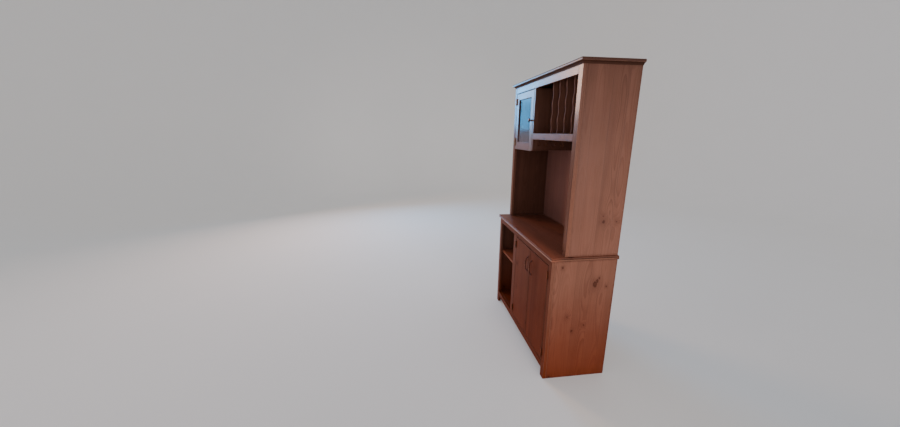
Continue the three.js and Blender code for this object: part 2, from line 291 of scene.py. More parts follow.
def wood(name, low, high, grain, seed, light, dark, knots=(), chance=0.4, tone_and_shading=1.0, staves=True,
         gloss=0.3, shine=0.32, front_warm_shade=0.0, wear_and_highlight=0.35, nosing=False, coat=None):
    """Sawn boards in a box, with the grain along one axis: rings, knots, fibre, glue lines, wear.

    knots have their places, and chance is how likely a scattered one is in its field.
    tone_and_shading is how light the board is, darker on some boards as painted shade and lighter
    on others as painted light, gloss its roughness, shine how strongly it reflects,
    front_warm_shade how much painted shade, darker and redder, lies on the faces that don't look
    towards the ends, and wear_and_highlight how pale its edges are, worn by rubbing and painted as
    a highlight. nosing is for a counter's edge.
    coat is the weight of a glossy coat, and the two heights between which it comes up to that.
    """
    material, start, shader, place = new_material(name)
    pick = random.Random(seed)
    size = [high[axis] - low[axis] for axis in (X, Y, Z)]
    wide, thick = sorted((axis for axis in (X, Y, Z) if axis != grain),
                         key=lambda axis: -size[axis])
    coordinates = place.parts()
    along = coordinates[grain] + pick.uniform(3, 9)
    across = coordinates[wide] - (low[wide] - pick.uniform(0.01, 0.08))
    deep = coordinates[thick] - (low[thick] + high[thick]) / 2

    # Glued staves, each with three chance values of its own
    width = STAVE_WIDTH if staves else 2 * size[wide]
    stave = across / width
    number = start.math("FLOOR", stave)
    vector = start.together(number, pick.uniform(0, 90), 0.0)
    chosen = start.node("ShaderNodeTexWhiteNoise", {"noise_dimensions": "2D"},
                        {"Vector": vector}, "Color")
    first, second, third = chosen.parts()
    inside = start.math("FRACT", stave).swing(width)
    seam = start.math("ABSOLUTE", inside).step(width / 2 - 0.9 * MM, width / 2 - 0.2 * MM)

    def drawn_out(fine, long, detail, side=inside):
        """Noise drawn out along the grain: so many spots a metre across it and along it."""
        return start.noise(start.together(side * fine, deep * fine, along * long), 1.0, detail)

    # How near the closest knot is, ragged at its rim, and how far the grain swirls round it
    shift = start.noise(place, 55.0, output="Color").parts()
    knot_wide = coordinates[wide] + shift[X].swing(0.014)
    knot_along = coordinates[grain] + shift[Y].swing(0.02)
    knot = scattered_knots(start, knot_wide + number * 0.37 + pick.uniform(1, 9),
                           knot_along + third * 3, chance)
    for one in knots:
        knot = start.math("MINIMUM", knot, placed_knot(start, knot_wide, knot_along, one))
    swirl = start.math("EXPONENT", knot * knot * -0.16)
    heart, knot_colour = knot_wood(start, knot, dark)

    # Year rings, of which the late wood is dark, in good years and bad
    radius = from_pith(start, inside, deep, along, first, second) + swirl * 0.013
    wobble = drawn_out(40, 5, 3.0) * 0.5
    rings = radius / RING_SPACING * (0.8 + third * 0.5) + wobble
    turn = start.math("FRACT", rings)
    years = start.noise(start.together(rings * 0.23, first * 30, along * 0.3), 1.0)
    late = turn.step(0.25, 0.9) * turn.step(1.0, 0.93) * years.step(0.28, 0.72)

    fibre = drawn_out(900, 22, 2.0)
    streak = drawn_out(55, 1.6, 3.0)
    broad = drawn_out(11, 0.9, 2.0, across)
    ducts = drawn_out(1500, 55, 1.0).step(0.66, 0.74)
    blotch = start.noise(place, 3.1, 3.0, 0.55)

    # From light wood to dark, and darker round each knot
    colour = light
    for share in (late * 0.42, (streak - 0.35) * 0.75, fibre.step(0.35, 0.75) * 0.16,
                  ducts * 0.35, swirl * 0.55):
        colour = start.mix(share, colour, dark)
    colour = start.mix(heart * 0.85, colour, knot_colour)
    shade = blotch.swing(0.3) + broad.swing(0.4) + first.swing(0.12 if staves else 0.0) + tone_and_shading
    colour = start.node("ShaderNodeVectorMath", {"operation": "SCALE"},
                        {0: colour, "Scale": shade})

    # Painted shade, darker and redder towards the floor, as from warm light bounced off a red
    # floor.
    # On the doors and their frame it is painted all over as shade on the front, but for the faces
    # towards the ends of the dresser.
    normal = start.node("ShaderNodeTexCoord", None, None, "Normal").parts()
    front_shaded = start.math("ABSOLUTE", normal[X]).step(0.8, 0.3) * front_warm_shade
    warm_shade = (coordinates[Z] + blotch.swing(0.2)).step(WARM_SHADE_TOP, WARM_SHADE_FOOT) * 0.95
    warm_shade = warm_shade * (1 - front_shaded) + front_shaded
    colour = start.mix(warm_shade, colour, start.mix(1.0, colour, WARM_SHADE, "MULTIPLY"))

    # End grain, dark and dull, where a face is cut across the grain
    end = start.math("ABSOLUTE", normal[grain]).step(0.6, 0.9)
    colour = start.mix(end * 0.6, colour, PINE_END)

    # Edges paler, worn by rubbing and painted as a highlight, with a little dirt beside them, and
    # dark glue lines
    edge = edge_distance(start, place, low, high)
    broken = start.noise(place, 60.0, 3.0, 0.6)
    rubbed_and_lit = (edge + broken.swing(3 * MM)).step(2.2 * MM, 0.6 * MM)
    dirt = (edge + broken.swing(20 * MM)).step(14 * MM, 2 * MM) * (1 - rubbed_and_lit)
    colour = start.mix(rubbed_and_lit * wear_and_highlight, colour, PINE_RUBBED_AND_LIT)
    colour = start.mix(dirt * 0.22, colour, GRIME)
    if nosing:
        colour, polish_and_glint = worked_nosing(start, colour, coordinates, normal, broken, low, high)
    colour = start.mix(seam * 0.35, colour, GRIME)

    worn = start.noise(place, 11.0, 4.0, 0.6)
    relief = late * 0.3 + fibre * 0.35 + ducts * -0.5 + seam * -1.0 + heart * 0.4
    coated = worn.step(0.2, 0.75) * (0.3 * shine)
    if coat:
        weight, coat_foot, coat_top = coat
        coated = coated + coordinates[Z].step(coat_foot, coat_top) * weight
    if nosing:
        coated = coated + polish_and_glint * coordinates[X].step(0.3, -0.25) * 0.9
    start.connect(shader, {
        "Base Color": colour,
        "Roughness": worn * 0.12 + (gloss - 0.06) + rubbed_and_lit * 0.14 + end * 0.2 + fibre * 0.04,
        "Normal": bump(start, relief, 0.35, 0.4 * MM),
        "Coat Weight": coated,
        "Coat Roughness": 0.2,
        "Specular IOR Level": shine,
    })
    return material


def metal(name, base, mark, roughness, rubbed_and_lit=None):
    """Cast or drawn metal, marked in patches.

    rubbed_and_lit is the two places, from back to front, between which the metal is paler: worn
    bright by hands, and painted with a reflection of warm light.
    """
    material, start, shader, place = new_material(name)
    patch = start.noise(place, 85.0, 4.0, 0.6)
    grain = start.noise(place, 900.0)
    if rubbed_and_lit:
        shown = place.parts()[Y].step(*rubbed_and_lit) * patch.step(0.3, 0.6)
    else:
        shown = patch.step(0.38, 0.66)
    start.connect(shader, {
        "Base Color": start.mix(shown, base, mark),
        "Metallic": 1.0,
        "Roughness": patch * 0.25 + (roughness - 0.12) + grain * 0.06,
        "Normal": bump(start, grain * 0.5 + patch, 0.25, 0.3 * MM),
    })
    return material


def glass():
    """Old sheet glass, dustier in the corners, purple-grey low down as a painted reflection."""
    material, start, shader, place = new_material("clear_glass")
    low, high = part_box("glass_pane")
    height = high.z - low.z
    film = start.noise(place, 14.0, 4.0, 0.6)
    corner = edge_distance(start, place, low, high).step(50 * MM, 0.0)
    # Purple-grey and less clear low down, as a painted reflection
    low_reflection = (place.parts()[Z] - low.z).step(0.55 * height, 0.1 * height)
    wave = start.noise(place, 6.0, 1.0)
    dust = start.mix(film.step(0.3, 0.8), DUST_THIN, DUST_THICK)
    start.connect(shader, {
        "Base Color": start.mix(low_reflection, dust, PAINTED_LOW_REFLECTION),
        "Alpha": film * 0.1 + corner * 0.1 + low_reflection * 0.1 + 0.22,
        "Roughness": film.step(0.35, 0.8) * 0.08 + 0.16,
        "Normal": bump(start, wave, 0.015, 2 * MM),
        "Specular IOR Level": 0.2,
    })
    return material


def add_piece(name, bm, material, body, replaced=(), smooth_angle=35):
    """Makes a bmesh a piece of the dresser that rides on a body."""
    bmesh.ops.recalc_face_normals(bm, faces=bm.faces)
    mesh = bpy.data.meshes.new(name)
    bm.to_mesh(mesh)
    bm.free()
    mesh.shade_smooth()
    mesh.set_sharp_from_angle(angle=math.radians(smooth_angle))
    mesh.materials.append(material)
    piece = bpy.data.objects.new(name, mesh)
    bpy.context.scene.collection.objects.link(piece)
    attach(piece, body)
    if replaced:
        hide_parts(*replaced)
    return piece


def loft(bm, face, places):
    """Draws a closed face through a row of places.

    Each place is a matrix that takes the face there from where it was made.
    """
    bmesh.ops.transform(bm, matrix=places[0], verts=face.verts)
    last = places[0]
    for place in places[1:]:
        grown = bmesh.ops.extrude_face_region(bm, geom=[face, *face.edges, *face.verts])
        face = next(item for item in grown["geom"] if isinstance(item, bmesh.types.BMFace))
        bmesh.ops.transform(bm, matrix=place @ last.inverted(), verts=face.verts)
        last = place


def grown_verts(bm, face):
    """Extrudes a face, and gives the vertices of its far end, which are still where it is."""
    grown = bmesh.ops.extrude_face_region(bm, geom=[face])
    return [item for item in grown["geom"] if isinstance(item, bmesh.types.BMVert)]


def circle_face(bm, sides):
    made = bmesh.ops.create_circle(bm, cap_ends=True, radius=1.0, segments=sides)
    return made["verts"][0].link_faces[0]


def station(place, along, side, size):
    """The matrix of a round section of one size at a place, square to a direction."""
    along = along.normalized()
    turned = Matrix((side, along.cross(side), along)).transposed().to_4x4()
    return Matrix.Translation(place) @ turned @ Matrix.Diagonal((size, size, 1, 1))


def bar(bm, points, sizes, sides):
    """A round bar through points in one plane square to the front, with a size at each."""
    places = []
    for index, point in enumerate(points):
        before = points[max(index - 1, 0)]
        after = points[min(index + 1, len(points) - 1)]
        places.append(station(point, after - before, RIGHT, sizes[index]))
    loft(bm, circle_face(bm, sides), places)


def turned_form(bm, place, along, side, profile, sides):
    """A turned form on an axis, from a profile of (distance along, radius)."""
    places = [station(place + along * distance, along, side, radius)
              for distance, radius in profile]
    loft(bm, circle_face(bm, sides), places)


def scaled(profile, long, wide):
    """A profile in shares, brought to its length and radius."""
    return [(distance * long, share * wide) for distance, share in profile]


def both_ends(profile, length):
    """The profile of a form with the same end at both its ends."""
    return profile + [(length - distance, size) for distance, size in reversed(profile)]


def mitred_length(section, start, end, out, up, mitres):
    """A straight length of moulding from start to end, cut at each end to a mitre, or square.

    section holds (out, up) places. A mitre is the way along the moulding, +1 or -1, in which the
    cut moves as the section stands further out, or 0 for a square cut.
    """
    bm = bmesh.new()
    along = (end - start).normalized()
    reach = max(place_out for place_out, place_up in section)
    face = bm.faces.new([bm.verts.new(start - along * reach + out * place_out + up * place_up)
                         for place_out, place_up in section])
    bmesh.ops.translate(bm, verts=grown_verts(bm, face), vec=end - start + along * (2 * reach))
    for place, away, mitre in ((start, -along, mitres[0]), (end, along, mitres[1])):
        slant = out * mitre * away.dot(along)
        cut = bmesh.ops.bisect_plane(bm, geom=[*bm.verts, *bm.edges, *bm.faces], plane_co=place,
                                     plane_no=(away - slant).normalized(), clear_outer=True)
        rim = [item for item in cut["geom_cut"] if isinstance(item, bmesh.types.BMEdge)]
        bmesh.ops.edgenet_fill(bm, edges=rim)
    return bm


def block(bm, low, high, ease):
    """A box between two corners, with eased edges."""
    size = Vector(high) - Vector(low)
    matrix = Matrix.Translation((Vector(low) + Vector(high)) / 2) @ Matrix.Diagonal((*size, 1))
    made = bmesh.ops.create_cube(bm, size=1, matrix=matrix)
    edges = list(dict.fromkeys(edge for vert in made["verts"] for edge in vert.link_edges))
    bmesh.ops.bevel(bm, geom=edges, offset=ease, affect="EDGES", segments=2, profile=0.5,
                    material=-1)


def screw(bm, place, out, side, radius, proud):
    """A countersunk screw head that looks along out: a dish, and half rounds beside its slot."""
    slot_half = 0.12
    sides = 20
    dish = [(-0.5 * radius, 0.5 * radius), (0, 0.98 * radius), (0.4 * proud, radius)]
    turned_form(bm, place, out, side, dish, sides)
    for sign in (-1, 1):
        face = circle_face(bm, sides)
        geometry = [face, *face.edges, *face.verts]
        cut = bmesh.ops.bisect_plane(bm, geom=geometry, plane_co=(sign * slot_half, 0, 0),
                                     plane_no=(-sign, 0, 0), clear_outer=True)
        face = next(item for item in cut["geom"] if isinstance(item, bmesh.types.BMFace))
        places = [station(place + out * distance, out, side, size * radius)
                  for distance, size in ((0.3 * proud, 0.99), (0.8 * proud, 0.98), (proud, 0.9))]
        loft(bm, face, places)


# Nodes that aren't plain boards, and the back panels, whose grain stands upright
DIVIDERS = ("rack_divider_1", "rack_divider_2", "rack_divider_3", "rack_divider_4")
NOT_PLAIN = ("counter_top", "top_board", "crown_moulding", "glass_pane", *DIVIDERS)
METAL_WORDS = ("hinge", "leaf", "pull", "knob", "hook")
BACK_PANELS = ("base_back", "upper_back")
EASED_EDGE = 1.1 * MM
WIDEST_SINGLE_BOARD = 0.12

# Knots on the boards that the photograph shows best, as (distance behind the face frame's front,
# height, size, how faint)
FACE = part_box("base_stile_right")[0].y
SIDE_KNOTS = {
    "base_side_right": [
        (0.066, 0.733, 0.0055, 0.0), (0.276, 0.617, 0.0135, 0.0), (0.288, 0.640, 0.008, 0.1),
        (0.298, 0.655, 0.006, 0.4), (0.158, 0.319, 0.006, 0.0), (0.232, 0.354, 0.007, 0.4),
        (0.120, 0.417, 0.011, 0.8), (0.348, 0.602, 0.005, 0.4), (0.041, 0.006, 0.006, 0.0)],
    "upper_side_right": [
        (0.285, 0.997, 0.012, 0.5), (0.365, 0.995, 0.009, 0.7), (0.280, 1.030, 0.009, 0.8)],
}
# The same on the right door, as (place along the front, height, size, how faint)
DOOR_KNOTS = {"door_right": [(0.169, 0.743, 0.006, 0.0)]}

# How light, shiny, shaded on the front and rough each family of boards is. The lightness is partly
# painted shade and light: the doors, the face frame below the counter and the upper sides darker,
# the niche lighter. The front shade paints the fronts darker and redder. A board is of the first
# family whose word is in its name.
FAMILIES = {
    "glass_door_rail_bottom": (1.0, 0.21, 0.28, 0.3),
    "glass_door": (0.86, 0.32, 0.0, 0.28),
    "rack_rail": (1.0, 0.2, 0.28, 0.3),
    "upper_rail_top": (0.86, 0.3, 0.0, 0.23),
    "door_right": (0.75, 0.01, 0.7, 0.3),
    "door": (0.78, 0.01, 0.54, 0.3),
    "plinth": (0.5, 0.02, 0.2, 0.3),
    "base_stile_right": (0.84, 0.01, 0.5, 0.3),
    "base_stile": (0.88, 0.016, 0.48, 0.3),
    "base_rail": (0.8, 0.01, 0.5, 0.3),
    "base_side": (0.88, 0.06, 0.1, 0.3),
    "base": (0.8, 0.05, 0.2, 0.3),
    "niche": (1.25, 0.01, 0.45, 0.3),
    "cupboard": (0.8, 0.05, 0.2, 0.3),
    "shelf": (0.74, 0.3, 0.0, 0.3),
    "floor": (0.74, 0.3, 0.0, 0.3),
    "partition": (0.74, 0.3, 0.0, 0.3),
    "upper_side": (0.8, 0.14, 0.0, 0.3),
    "upper_stile": (0.92, 0.03, 0.12, 0.28),
    "": (0.86, 0.28, 0.0, 0.28),
}
# Boards whose varnish has kept its gloss only high up, as (weight, where it starts, where full)
HIGH_COATS = {"upper_stile_left": (0.32, 1.1, 1.7), "upper_stile_right": (0.56, 1.05, 1.75)}


def board_timber(name, low, high):
    """The timber of a plain board or a back panel."""
    if name in BACK_PANELS:
        # The back panels are made lighter, as painted light on the shaded inside
        return wood(f"pine_{name}", low, high, Z, name, PLY_LIGHT, PLY_DARK, chance=0.15,
                    tone_and_shading=1.16, staves=False, gloss=0.4, shine=0.1, front_warm_shade=0.16)
    size = high - low
    grain = max((X, Y, Z), key=lambda axis: size[axis])
    knots = [(FACE + back, *rest) for back, *rest in SIDE_KNOTS.get(name, [])]
    knots += DOOR_KNOTS.get(name, [])
    tone_and_shading, shine, front_warm_shade, gloss = next(finish for word, finish in FAMILIES.items()
                                       if word in name)
    return wood(f"pine_{name}", low, high, grain, name, PINE_LIGHT, PINE_DARK, knots,
                chance=0.0 if name in SIDE_KNOTS else 0.3, tone_and_shading=tone_and_shading,
                staves=sorted(size)[1] > WIDEST_SINGLE_BOARD, gloss=gloss, shine=shine,
                front_warm_shade=front_warm_shade, coat=HIGH_COATS.get(name))


def dress_boards():
    """Gives every plain board its own timber and eased edges."""
    for name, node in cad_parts.items():
        if name in NOT_PLAIN or any(word in name for word in METAL_WORDS):
            continue
        node.data.materials.clear()
        node.data.materials.append(board_timber(name, *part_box(name)))
        weld = node.modifiers.new("weld", "WELD")
        weld.merge_threshold = 0.01 * MM
        ease = node.modifiers.new("ease", "BEVEL")
        ease.width = EASED_EDGE
        ease.segments = 3
        ease.limit_method = "ANGLE"
        ease.angle_limit = math.radians(40)


def moulded_slab(node, levels):
    """A slab that fills a node's box, moulded on its front and ends, and the box's corners.

    Levels are (share of the height, how far the edge is set back there).
    """
    low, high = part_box(node)
    bm = bmesh.new()
    width, depth = high.x - low.x, high.y - low.y
    middle = Matrix.Translation(((low.x + high.x) / 2, (low.y + high.y) / 2, 0))
    made = bmesh.ops.create_grid(bm, x_segments=1, y_segments=1, size=0.5,
                                 matrix=middle @ Matrix.Diagonal((width, depth, 1, 1)))
    back_edge = Vector(((low.x + high.x) / 2, high.y, 0))
    places = []
    for share, back in levels:
        height = low.z + share * (high.z - low.z)
        shrunk = Matrix.Diagonal(((width - 2 * back) / width, (depth - back) / depth, 1, 1))
        places.append(Matrix.Translation((0, 0, height)) @ Matrix.Translation(back_edge)
                      @ shrunk @ Matrix.Translation(-back_edge))
    loft(bm, made["verts"][0].link_faces[0], places)
    return bm, low, high


def half_round(bottom, top, deepest, steps, start_angle=-90):
    """Levels of a round edge between two shares of the height, as moulded_slab takes them.

    A start angle of 0 leaves out the lower half of the round.
    """
    middle = (bottom + top) / 2
    levels = []
    for step in range(steps + 1):
        angle = math.radians(start_angle + (90 - start_angle) * step / steps)
        levels.append((middle + (top - bottom) / 2 * math.sin(angle),
                       deepest * (1 - math.cos(angle))))
    return levels


def make_counter():
    """Counter with its nosing: a broad round below, a fine groove, and a slim round above."""
    groove = 4.4 * MM
    slim_back = 1.2 * MM
    levels = half_round(0.0, 0.55, 4.2 * MM, 12)
    levels += [(0.57, groove), (0.64, groove)]
    levels += [(share, back + slim_back) for share, back in half_round(0.66, 1.0, 2.4 * MM, 10)]
    bm, low, high = moulded_slab("counter_top", levels)
    timber = wood("pine_counter", low, high, X, "counter", PINE_LIGHT, PINE_DARK, chance=0.4,
                  tone_and_shading=0.84, gloss=0.36, shine=0.08, front_warm_shade=0.4, wear_and_highlight=0.3, nosing=True)
    add_piece("counter_board", bm, timber, CARCASS, ["counter_top"])


def make_top_board():
    """The top board, its edge square below and well rounded above."""
    levels = [(0.0, 1.0 * MM), (0.07, 0.0)] + half_round(-0.2, 1.0, 5 * MM, 10, 0)
    bm, low, high = moulded_slab("top_board", levels)
    timber = wood("pine_top_board", low, high, X, "top", PINE_LIGHT, PINE_DARK, chance=0.2,
                  tone_and_shading=0.52, gloss=0.3, shine=0.22)
    add_piece("cornice_board", bm, timber, CARCASS, ["top_board"])


def crown_section(height, reach):
    """The hollow moulding's section from its foot up, as (out, up): fillet, hollow and lip."""
    foot = 2.5 * MM
    fillet = 0.9 * MM
    radius = 18 * MM
    lip_ease = 0.2 * MM
    start, end = math.radians(160), math.radians(104)
    steps = 14
    section = [(0, 0), (foot, 0)]
    for step in range(steps + 1):
        angle = start + (end - start) * step / steps
        out = foot + radius * (math.cos(angle) - math.cos(start))
        up = fillet + radius * (math.sin(angle) - math.sin(start))
        section.append((out, up))
    return section + [(reach - lip_ease, up), (reach, up + lip_ease), (reach, height), (0, height)]


def make_crown():
    """Hollow moulding under the top board, in three lengths that meet at the front corners."""
    low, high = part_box("crown_moulding")
    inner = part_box("upper_side_right")[1].x + GLUE_LINE
    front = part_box("upper_stile_right")[0].y - GLUE_LINE
    section = crown_section(high.z - low.z, high.x - inner)
    right_corner, right_end = Vector((inner, front, low.z)), Vector((inner, high.y, low.z))
    left_corner, left_end = Vector((-inner, front, low.z)), Vector((-inner, high.y, low.z))
    lengths = {
        "front": (left_corner, right_corner, FRONT, (-1, 1), X),
        "right": (right_corner, right_end, RIGHT, (-1, 0), Y),
        "left": (left_end, left_corner, LEFT, (0, 1), Y),
    }
    for name, (start, end, out, mitres, grain) in lengths.items():
        bm = mitred_length(section, start, end, out, UP, mitres)
        # Its darkness is painted shade on the hollow, which faces down under the top board
        timber = wood(f"pine_crown_{name}", low, high, grain, name, PINE_LIGHT, PINE_DARK,
                      chance=0.0, tone_and_shading=0.34, staves=False, gloss=0.45, shine=0.03)
        add_piece(f"crown_hollow_{name}", bm, timber, CARCASS,
                  ["crown_moulding"], smooth_angle=25)


def make_divider(node):
    """A plate divider: a board on edge, whose front edge runs in waves from shelf to rail."""
    low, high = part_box(node)
    wave_depth = 2.4 * MM
    wave_length = 100 * MM
    steps = 72
    height = high.z - low.z
    outline = [Vector((low.x, high.y, low.z)), Vector((low.x, high.y, high.z))]
    for step in range(steps + 1):
        down = height * step / steps
        wave = 1 - math.cos(2 * math.pi * (height - down) / wave_length)
        outline.append(Vector((low.x, low.y + wave_depth * wave, high.z - down)))
    bm = bmesh.new()
    face = bm.faces.new([bm.verts.new(place) for place in outline])
    bmesh.ops.translate(bm, verts=grown_verts(bm, face), vec=(high.x - low.x, 0, 0))
    rims = [edge for edge in bm.edges if any(len(side.verts) > 4 for side in edge.link_faces)]
    bmesh.ops.bevel(bm, geom=rims, offset=1.3 * MM, affect="EDGES", segments=3, profile=0.5,
                    material=-1)
    timber = wood(f"pine_{node}", low, high, Z, node, PINE_LIGHT, PINE_DARK, chance=0.1,
                  tone_and_shading=0.85, gloss=0.6, shine=0.035, wear_and_highlight=0.95)
    add_piece(f"wavy_{node}", bm, timber, CARCASS, [node], smooth_angle=50)


def put_glass():
    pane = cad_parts["glass_pane"]
    pane.data.materials.clear()
    pane.data.materials.append(glass())


def make_beads():
    """Quarter-round beads behind the pane, mitred at the corners of the glazed door's frame."""
    pane_low, pane_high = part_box("glass_pane")
    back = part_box("glass_door_rail_top")[1].y
    near = pane_high.y + 0.1 * MM
    depth = back - near - 0.5 * MM
    steps = 8
    section = [(0, 0)]
    for step in range(steps + 1):
        angle = math.radians(90 * step / steps)
        section.append((depth * math.sin(angle), depth * math.cos(angle)))
    low, high = Vector((pane_low.x, near, pane_low.z)), Vector((pane_high.x, back, pane_high.z))
    low_left, low_right = Vector((low.x, near, low.z)), Vector((high.x, near, low.z))
    top_left, top_right = Vector((low.x, near, high.z)), Vector((high.x, near, high.z))
    lengths = {
        "bottom": (low_left, low_right, UP, X),
        "right": (low_right, top_right, LEFT, Z),
        "top": (top_right, top_left, DOWN, X),
        "left": (top_left, low_left, RIGHT, Z),
    }
    for name, (start, end, out, grain) in lengths.items():
        bm = mitred_length(section, start, end, out, BACK, (1, -1))
        timber = wood(f"pine_bead_{name}", low, high, grain, name, PINE_LIGHT, PINE_DARK,
                      chance=0.0, tone_and_shading=0.9, staves=False)
        add_piece(f"glazing_bead_{name}", bm, timber, "glass_door",
                  smooth_angle=25)


# Turned profiles, as (distance along the axis, radius). Radii are shares, but for the panel pins'
# millimetres. Distances are millimetres, but for the knob's shares.
PULL_FOOT = [(0, 1.0), (0.9, 1.0), (1.3, 0.94), (1.6, 0.72), (2.0, 0.66), (2.6, 0.7),
             (3.1, 0.62), (3.6, 0.4), (4.4, 0.38)]
KNOB = [(0, 0.52), (0.06, 0.52), (0.09, 0.47), (0.13, 0.36), (0.2, 0.31), (0.36, 0.31),
        (0.44, 0.4), (0.52, 0.58), (0.6, 0.78), (0.68, 0.92), (0.76, 0.99), (0.82, 1.0),
        (0.87, 0.97), (0.9, 0.9), (0.915, 0.84), (0.925, 0.76), (0.95, 0.66), (0.975, 0.48),
        (0.99, 0.3), (1.0, 0.1)]
HOOK_COLLAR = [(0, 1.0), (0.5, 1.0), (0.9, 0.9), (1.3, 0.66), (1.9, 0.5), (2.6, 0.42),
               (3.4, 0.34)]
KNUCKLE_END = [(0, 0.9), (0.35, 1.0), (1.0, 1.0), (1.15, 0.95), (1.3, 1.0)]
HINGE_PIN_END = [(0, 0.2), (0.15, 0.5), (0.5, 0.66), (1.0, 0.7), (1.02, 0.4)]
PANEL_PIN_HEAD = [(-0.5, 1.0), (0.0, 1.6), (0.2, 1.5), (0.35, 1.0)]


def make_pull(door):
    """Bow pull: a slim bar, thickest in the middle, on two round feet with a bead above each."""
    node = f"{door}_pull"
    low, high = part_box(node)
    middle = (low + high) / 2
    back = high.y
    reach = back - low.y
    foot_radius = (high.x - low.x) / 2
    half = (high.z - low.z) / 2 - foot_radius
    thinnest, swell, thickest = 3.0 * MM, 1.5 * MM, 4.5 * MM
    off_door = 1.2 * MM
    points = []
    sizes = []
    steps = 40
    for step in range(steps + 1):
        along = step / steps
        bow = math.sin(math.pi * along)
        points.append(Vector((middle.x,
                              back - off_door - (reach - off_door - thickest) * bow ** 0.55,
                              middle.z + 2 * half * (along - 0.5))))
        sizes.append(thinnest + swell * bow ** 2)
    bm = bmesh.new()
    bar(bm, points, sizes, 20)
    for end in (-1, 1):
        place = Vector((middle.x, back, middle.z + end * half))
        turned_form(bm, place, FRONT, RIGHT, scaled(PULL_FOOT, MM, foot_radius), 28)
    # The bow is paler than its feet, worn bright and painted with a reflection of warm light
    rubbed_and_lit = (back - 0.6 * reach, back - reach)
    finish = metal(f"bronze_{node}", BRONZE, BRONZE_RUBBED_AND_LIT, 0.44, rubbed_and_lit)
    add_piece(f"{door}_bow_pull", bm, finish, door, [node])


def make_knob():
    low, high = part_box("glass_door_knob")
    middle = (low + high) / 2
    radius = (high.x - low.x) / 2
    reach = high.y - low.y
    bm = bmesh.new()
    turned_form(bm, Vector((middle.x, high.y, middle.z)), FRONT, RIGHT,
                scaled(KNOB, reach, radius), 40)
    finish = metal("bronze_knob", BRONZE, BRONZE, 0.3)
    add_piece("turned_knob", bm, finish, "glass_door", ["glass_door_knob"])


def make_hook(number):
    """Screw-in cup hook: a dished collar, a shank, and a ring open in front that ends in a ball."""
    node = f"cup_hook_{number}"
    low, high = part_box(node)
    middle = (low + high) / 2
    wire = 1.6 * MM
    ring = 11 * MM
    ring_start, ring_sweep = 62, 262
    ring_height = low.z + ring + wire
    collar = (high.x - low.x) / 2
    shank_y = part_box("upper_stile_right")[0].y + 30 * MM
    points = [Vector((middle.x, shank_y, high.z - down * MM)) for down in (0.5, 7)]
    steps = 44
    for step in range(steps + 1):
        angle = math.radians(ring_start - ring_sweep * step / steps)
        points.append(Vector((middle.x, shank_y + ring * math.cos(angle),
                              ring_height + ring * math.sin(angle))))
    tip = [0.95 * wire, 0.9 * wire, 0.85 * wire, 0.8 * wire]
    bm = bmesh.new()
    bar(bm, points, [wire] * (len(points) - len(tip)) + tip, 14)
    bmesh.ops.create_icosphere(bm, subdivisions=3, radius=1.25 * wire,
                               matrix=Matrix.Translation(points[-1]))
    turned_form(bm, Vector((middle.x, shank_y, high.z)), DOWN, RIGHT,
                scaled(HOOK_COLLAR, MM, collar), 24)
    finish = metal(f"brass_{node}", BRASS, BRASS_TARNISH, 0.34)
    add_piece(f"brass_cup_hook_{number}", bm, finish, CARCASS, [node])


# Butt hinges: two leaves in the gap between door and frame, on a pin in front of it. The leaves'
# places are measured from the pin. Knuckles are shares of the height, and screws are (share of
# the height, share of the leaf's depth).
KNUCKLE_RADIUS = 4 * MM
LEAF_FACE = 1.0 * MM
LEAF_REAR = 2.2 * MM
LEAF_START = 4.7 * MM
PIN_HEAD = 1.0 * MM
MIDDLE_KNUCKLE = (0.336, 0.664)
OUTER_KNUCKLES = (0.33, 0.67)
HINGE_SCREWS = ((0.16, 0.66), (0.5, 0.36), (0.84, 0.66))
HINGE_COLOURS = {
    "door_left": (BRASS, BRASS_TARNISH),
    "door_right": (BRASS_WARM, BRASS_BROWN),
    "glass_door": (BRASS_CLEAN, BRASS_DULL),
}


def make_hinge_half(node, body, facing, spans, pinned, colours):
    """Half of a butt hinge: its leaf with three screws, its knuckles, and on one half the pin.

    facing is the way that the screws look along X. spans are the knuckles' ends.
    """
    low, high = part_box(node)
    pivot = Vector(((low.x + high.x) / 2, low.y + KNUCKLE_RADIUS, low.z))
    height = high.z - low.z
    leaf_y = pivot.y + LEAF_START
    faces = sorted((pivot.x - facing * LEAF_REAR, pivot.x - facing * LEAF_FACE))
    bm = bmesh.new()
    block(bm, (faces[0], leaf_y, low.z), (faces[1], high.y, high.z), 0.3 * MM)
    for start, end in spans:
        bottom = pivot.z + start * height
        top = pivot.z + end * height
        block(bm, (faces[0], pivot.y, bottom), (faces[1], leaf_y + 0.4 * MM, top), 0.2 * MM)
        profile = both_ends(scaled(KNUCKLE_END, MM, KNUCKLE_RADIUS), top - bottom)
        turned_form(bm, Vector((pivot.x, pivot.y, bottom)), UP, FRONT, profile, 28)
    for share_up, share_back in HINGE_SCREWS:
        back = leaf_y + share_back * (high.y - pivot.y - LEAF_START)
        place = Vector((pivot.x - facing * LEAF_FACE, back, low.z + share_up * height))
        screw(bm, place, RIGHT * facing, UP, 2.6 * MM, 0.2 * MM)
    if pinned:
        profile = both_ends(scaled(HINGE_PIN_END, PIN_HEAD, KNUCKLE_RADIUS), height)
        turned_form(bm, pivot, UP, FRONT, profile, 24)
    add_piece(f"butt_{node}", bm, metal(f"brass_{node}", *colours, 0.4), body, [node])


